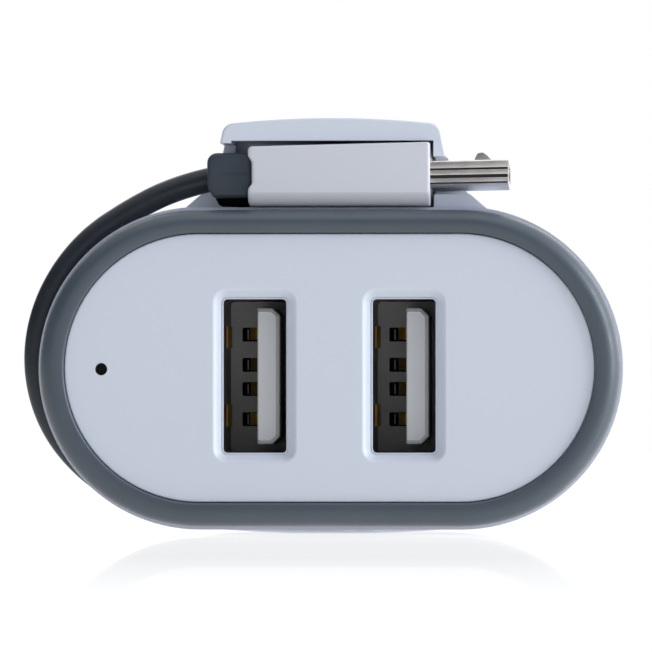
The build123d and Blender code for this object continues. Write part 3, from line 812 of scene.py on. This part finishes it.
def strip(shape, centre_line, width, thickness, middle):
    """A bent strip: a centre line in X and depth, given a width in Z and a thickness."""
    rings = []
    for index, (x, depth) in enumerate(centre_line):
        ahead = centre_line[min(index + 1, len(centre_line) - 1)]
        behind = centre_line[max(index - 1, 0)]
        along = Vector((ahead[0] - behind[0], ahead[1] - behind[1])).normalized()
        out = Vector((-along.y, along.x)) * thickness / 2
        rings.append(
            shape.ring(
                [
                    from_front(x + out.x, middle - width / 2, depth + out.y),
                    from_front(x - out.x, middle - width / 2, depth - out.y),
                    from_front(x - out.x, middle + width / 2, depth - out.y),
                    from_front(x + out.x, middle + width / 2, depth + out.y),
                ]
            )
        )
    for ring, other in zip(rings, rings[1:]):
        shape.bridge(ring, other)
    shape.faces.append(tuple(rings[0]))
    shape.faces.append(tuple(rings[-1]))


def make_contacts(side_name, side):
    """Four sprung contacts that bow away from the tongue; the two outer ones are longer."""
    shape = Shape()
    face = side * PORT_X + 0.12
    starts = (3.3, 4.4, 4.4, 3.3)
    width, thickness = 0.96, 0.14
    for offset, start in zip(CONTACT_OFFSETS, starts):
        bow = [
            (face + 0.02, start),
            (face - 0.14, start + 0.4),
            (face - 0.48, start + 1.2),
            (face - 0.64, start + 2.0),
            (face - 0.56, start + 2.8),
            (face - 0.30, start + 3.8),
            (face - 0.12, start + 5.0),
            (face - 0.10, SOCKET_BACK - 0.4),
        ]
        strip(shape, bow, width, thickness, PORT_Z + offset)
    return make_piece(
        f"socket_contacts_{side_name}",
        shape,
        MATERIALS["gold_contact"],
        "charger",
        (f"usb_contacts_{side_name}",),
    )


def make_shell_springs(side_name, side):
    """Two leaf springs that bow out of the shell's left wall and grip a plug."""
    shape = Shape()
    wall = side * PORT_X - PORT_OPENING[0] / 2
    width, thickness = 1.8, 0.16
    leaf = [
        (wall - 0.12, 7.6),
        (wall + 0.02, 7.0),
        (wall + 0.30, 5.6),
        (wall + 0.46, 4.6),
        (wall + 0.40, 4.0),
        (wall + 0.18, 3.4),
    ]
    for offset in (-3.2, 3.2):
        strip(shape, leaf, width, thickness, PORT_Z + offset)
    return make_piece(
        f"shell_springs_{side_name}", shape, MATERIALS["spring_bronze"], "charger"
    )


make_port_plate()
make_bumper()
for side_name, side in (("left", -1), ("right", 1)):
    make_socket_insert(side_name, side)
    make_slot_shade(side_name, side)
    make_contacts(side_name, side)
    make_shell_springs(side_name, side)


# ---- Docked plug ---------------------------------------------------------------
def make_grip():
    """The plug's white grip: a slight wedge, bevelled below, with its end hollowed for the collar."""
    left, right, bottom = -6.68, 8.18, 26.72
    left_top, right_top = 31.57, 31.92
    hollow = 0.31
    round_below = 1.1
    front, back_edge = 1.25, 9.2
    shape = Shape()
    # Depth, then how far the top and the two ends are drawn in at that depth.
    stations = [(front, 0.24, 0.30), (front + 0.004, 0.18, 0.24), (front + 0.03, 0.10, 0.13)]
    stations += [(front + 0.09, 0.04, 0.06), (front + 0.18, 0.01, 0.02)]
    stations += [(front + share * round_below, 0.0, 0.0) for share in (0.25, 0.36, 0.48, 0.62, 0.8, 1)]
    stations += [(back_edge, 0.0, 0.0), (9.48, 0.1, 0.1), (9.6, 0.35, 0.35)]
    rings = []
    for depth, top_in, end_in in stations:
        left_over = max(0.0, 1 - (depth - front) / round_below)
        bottom_in = round_below * left_over**1.6 if depth < back_edge else top_in
        under = bottom + bottom_in
        corners = [
            (left + end_in, under),
            (right - end_in, under),
            (right - end_in, right_top - top_in),
            (left + end_in, left_top - top_in),
            (left + end_in, 30.80),
            (left + end_in + hollow, 30.30),
            (left + end_in + hollow, max(27.9, under + 0.85)),
            (left + end_in, max(27.5, under + 0.45)),
        ]
        outline = rounded(corners, [0.32, 0.22, 0.22, 0.35, 0.12, 0.3, 0.2, 0.12], 6)
        rings.append(shape.ring([from_front(x, z, depth) for x, z, _, _ in outline]))
    for ring, other in zip(rings, rings[1:]):
        shape.bridge(ring, other)
    shape.fill(rings[0])
    shape.fill(rings[-1])
    return make_piece(
        "plug_grip", shape, GRIP_WHITE, "cable_plug", ("plug_housing",)
    )


def make_relief():
    """The strain relief collar with its mould line, and a near-black root below it that paints the shade
    under the collar.
    """
    front, back, softness = 2.05, 8.15, 0.40
    line_front, line_back = 1.98, 2.3
    root_front, root_back = 3.9, 7.6
    shape = Shape()
    corners = [
        (-9.55, 27.40),
        (-6.74, 27.40),
        (-6.34, 28.15),
        (-6.34, 30.45),
        (-6.66, 31.06),
        (-10.05, 31.06),
        (-10.05, 28.30),
    ]
    outline = rounded(corners, [0.42, 0.42, 0.42, 0.42, 0.42, 0.8, 0.8], 6)
    shape.block(outline, front, back, softness, from_front, 6)
    line = rounded([(-8.6, 29.24), (-6.6, 29.24), (-6.6, 29.34), (-8.6, 29.34)], 0.03, 2)
    shape.block(line, line_front, line_back, 0.03, from_front, 2)
    relief = make_piece(
        "strain_relief", shape, MATERIALS["grey_collar"], "cable_plug", ("plug_collar",)
    )
    # The root's near-black colour is painted shade under the collar.
    root = Shape()
    outline = rounded([(-9.15, 26.80), (-6.72, 26.80), (-6.6, 28.2), (-9.85, 28.2)], 0.3, 4)
    root.block(outline, root_front, root_back, 0.3, from_front, 4)
    return [relief, make_piece("relief_root", root, ROOT_PAINTED_SHADE, "cable_plug")]


def on_shell(across, height, x):
    """A point of the micro plug's shell, drawn in its width and height and carried along X."""
    return on_plug(x, across, height)


def make_micro_shell():
    """The folded metal shell: a seam, a slot and a fold along its front side, open at the tip."""
    half_width, half_height, top, wall = SHELL_HALF_WIDTH, 0.9, 1.02, 0.25
    tail, tip = 4.2, 14.6
    corners = [
        (half_width, -half_height + 0.3),
        (half_width, top),
        (-half_width, top),
        (-half_width, 0.40),
        (-half_width + 0.18, 0.38),
        (-half_width + 0.18, 0.24),
        (-half_width, 0.22),
        (-half_width, -0.16),
        (-half_width + 0.20, -0.19),
        (-half_width + 0.20, -0.42),
        (-half_width, -0.45),
        (-half_width, -half_height),
        (half_width - 0.30, -half_height),
    ]
    radii = [0.1, 0.15, 0.15, 0.02, 0.01, 0.01, 0.02, 0.03, 0.02, 0.02, 0.03, 0.05, 0.1]
    shape = Shape()
    outer = rounded(corners, radii, 4)
    rings = shape.sweep(outer, [(0.0, tail), (0.0, tip - 0.06), (-0.03, tip)], on_shell)
    inner_corners = [
        (half_width - wall, -half_height + 0.45),
        (half_width - wall, top - wall),
        (-half_width + wall, top - wall),
        (-half_width + wall, -half_height + 0.45),
        (-half_width + wall + 0.2, -half_height + wall),
        (half_width - wall - 0.2, -half_height + wall),
    ]
    inner = shape.sweep(rounded(inner_corners, 0.08, 3), [(0.0, tip), (0.0, tail + 0.8)], on_shell)
    shape.fill(rings[-1], inner[0])
    shape.fill(rings[0])
    shape.fill(inner[-1])
    return make_piece(
        "micro_shell",
        shape,
        MATERIALS["nickel_shell"],
        "cable_plug",
        ("plug_shell",),
        sharp=30.0,
    )


def on_shell_side(x, height, across):
    """A point drawn in the plug's length and height and carried across its width."""
    return on_plug(x, across, height)


def make_seams():
    """Near-black strips in the seam and slot along the front side of the shell and at the edge of its lap:
    painted shade in these grooves.
    """
    start, end = 4.3, 14.5
    side = -SHELL_HALF_WIDTH
    depth = 0.21
    # Height of each line's lower and upper edge, and how far it is sunk.
    lines = ((0.225, 0.395, 0.08), (-0.435, -0.175, 0.08), (-0.90, -0.77, -0.012))
    shape = Shape()
    for low, high, sunk in lines:
        line = rounded([(start, low), (end, low), (end, high), (start, high)], 0.02, 2)
        shape.block(line, side + sunk, side + depth, 0.01, on_shell_side, 1)
    return make_piece("shell_seams", shape, SEAM_PAINTED_SHADE, "cable_plug")


def make_lap():
    """The lap of the folded sheet under the shell, in a dull grey that paints the shade on the shell's
    darker underside.
    """
    start, end, near, far = 4.3, 14.54, -3.36, 3.3
    low, high = -0.914, -0.86
    shape = Shape()
    sheet = rounded([(start, near), (end, near), (end, far), (start, far)], 0.05, 2)
    shape.block(sheet, low, high, 0.006, on_plug, 1)
    return make_piece("shell_lap", shape, LAP_PAINTED_SHADE, "cable_plug")


def make_hooks():
    """The two sprung hooks on top of the shell, steep behind and sloped in front."""
    pitch = 2.2
    half_thickness = 0.36
    shape = Shape()
    fin = rounded(
        [(11.72, 0.8), (13.45, 0.8), (12.80, 1.50), (12.45, 1.74), (12.05, 1.68), (11.82, 1.3)],
        [0.02, 0.02, 0.25, 0.15, 0.15, 0.2],
        4,
    )
    for middle in (-pitch, pitch):
        shape.block(fin, middle - half_thickness, middle + half_thickness, 0.06, on_shell_side, 3)
    return make_piece(
        "latch_hooks",
        shape,
        MATERIALS["nickel_shell"],
        "cable_plug",
        ("plug_latches",),
    )


plug_pieces = [make_grip(), *make_relief(), make_micro_shell(), make_seams()]
plug_pieces += [make_lap(), make_hooks()]
plug_pieces += [frame["nodes"]["plug_tongue"], frame["nodes"]["plug_contacts"]]


# ---- Mains side ----------------------------------------------------------------
def round_edges(node, width):
    """Softens a CAD node's sharp edges as deburring would."""
    sharp_from = math.radians(35.0)
    bevel = frame["nodes"][node].modifiers.new("soft_edges", "BEVEL")
    bevel.width = width * MM
    bevel.segments = 2
    bevel.limit_method = "ANGLE"
    bevel.angle_limit = sharp_from


for blade in ("prong_left", "prong_right"):
    round_edges(blade, 0.12)
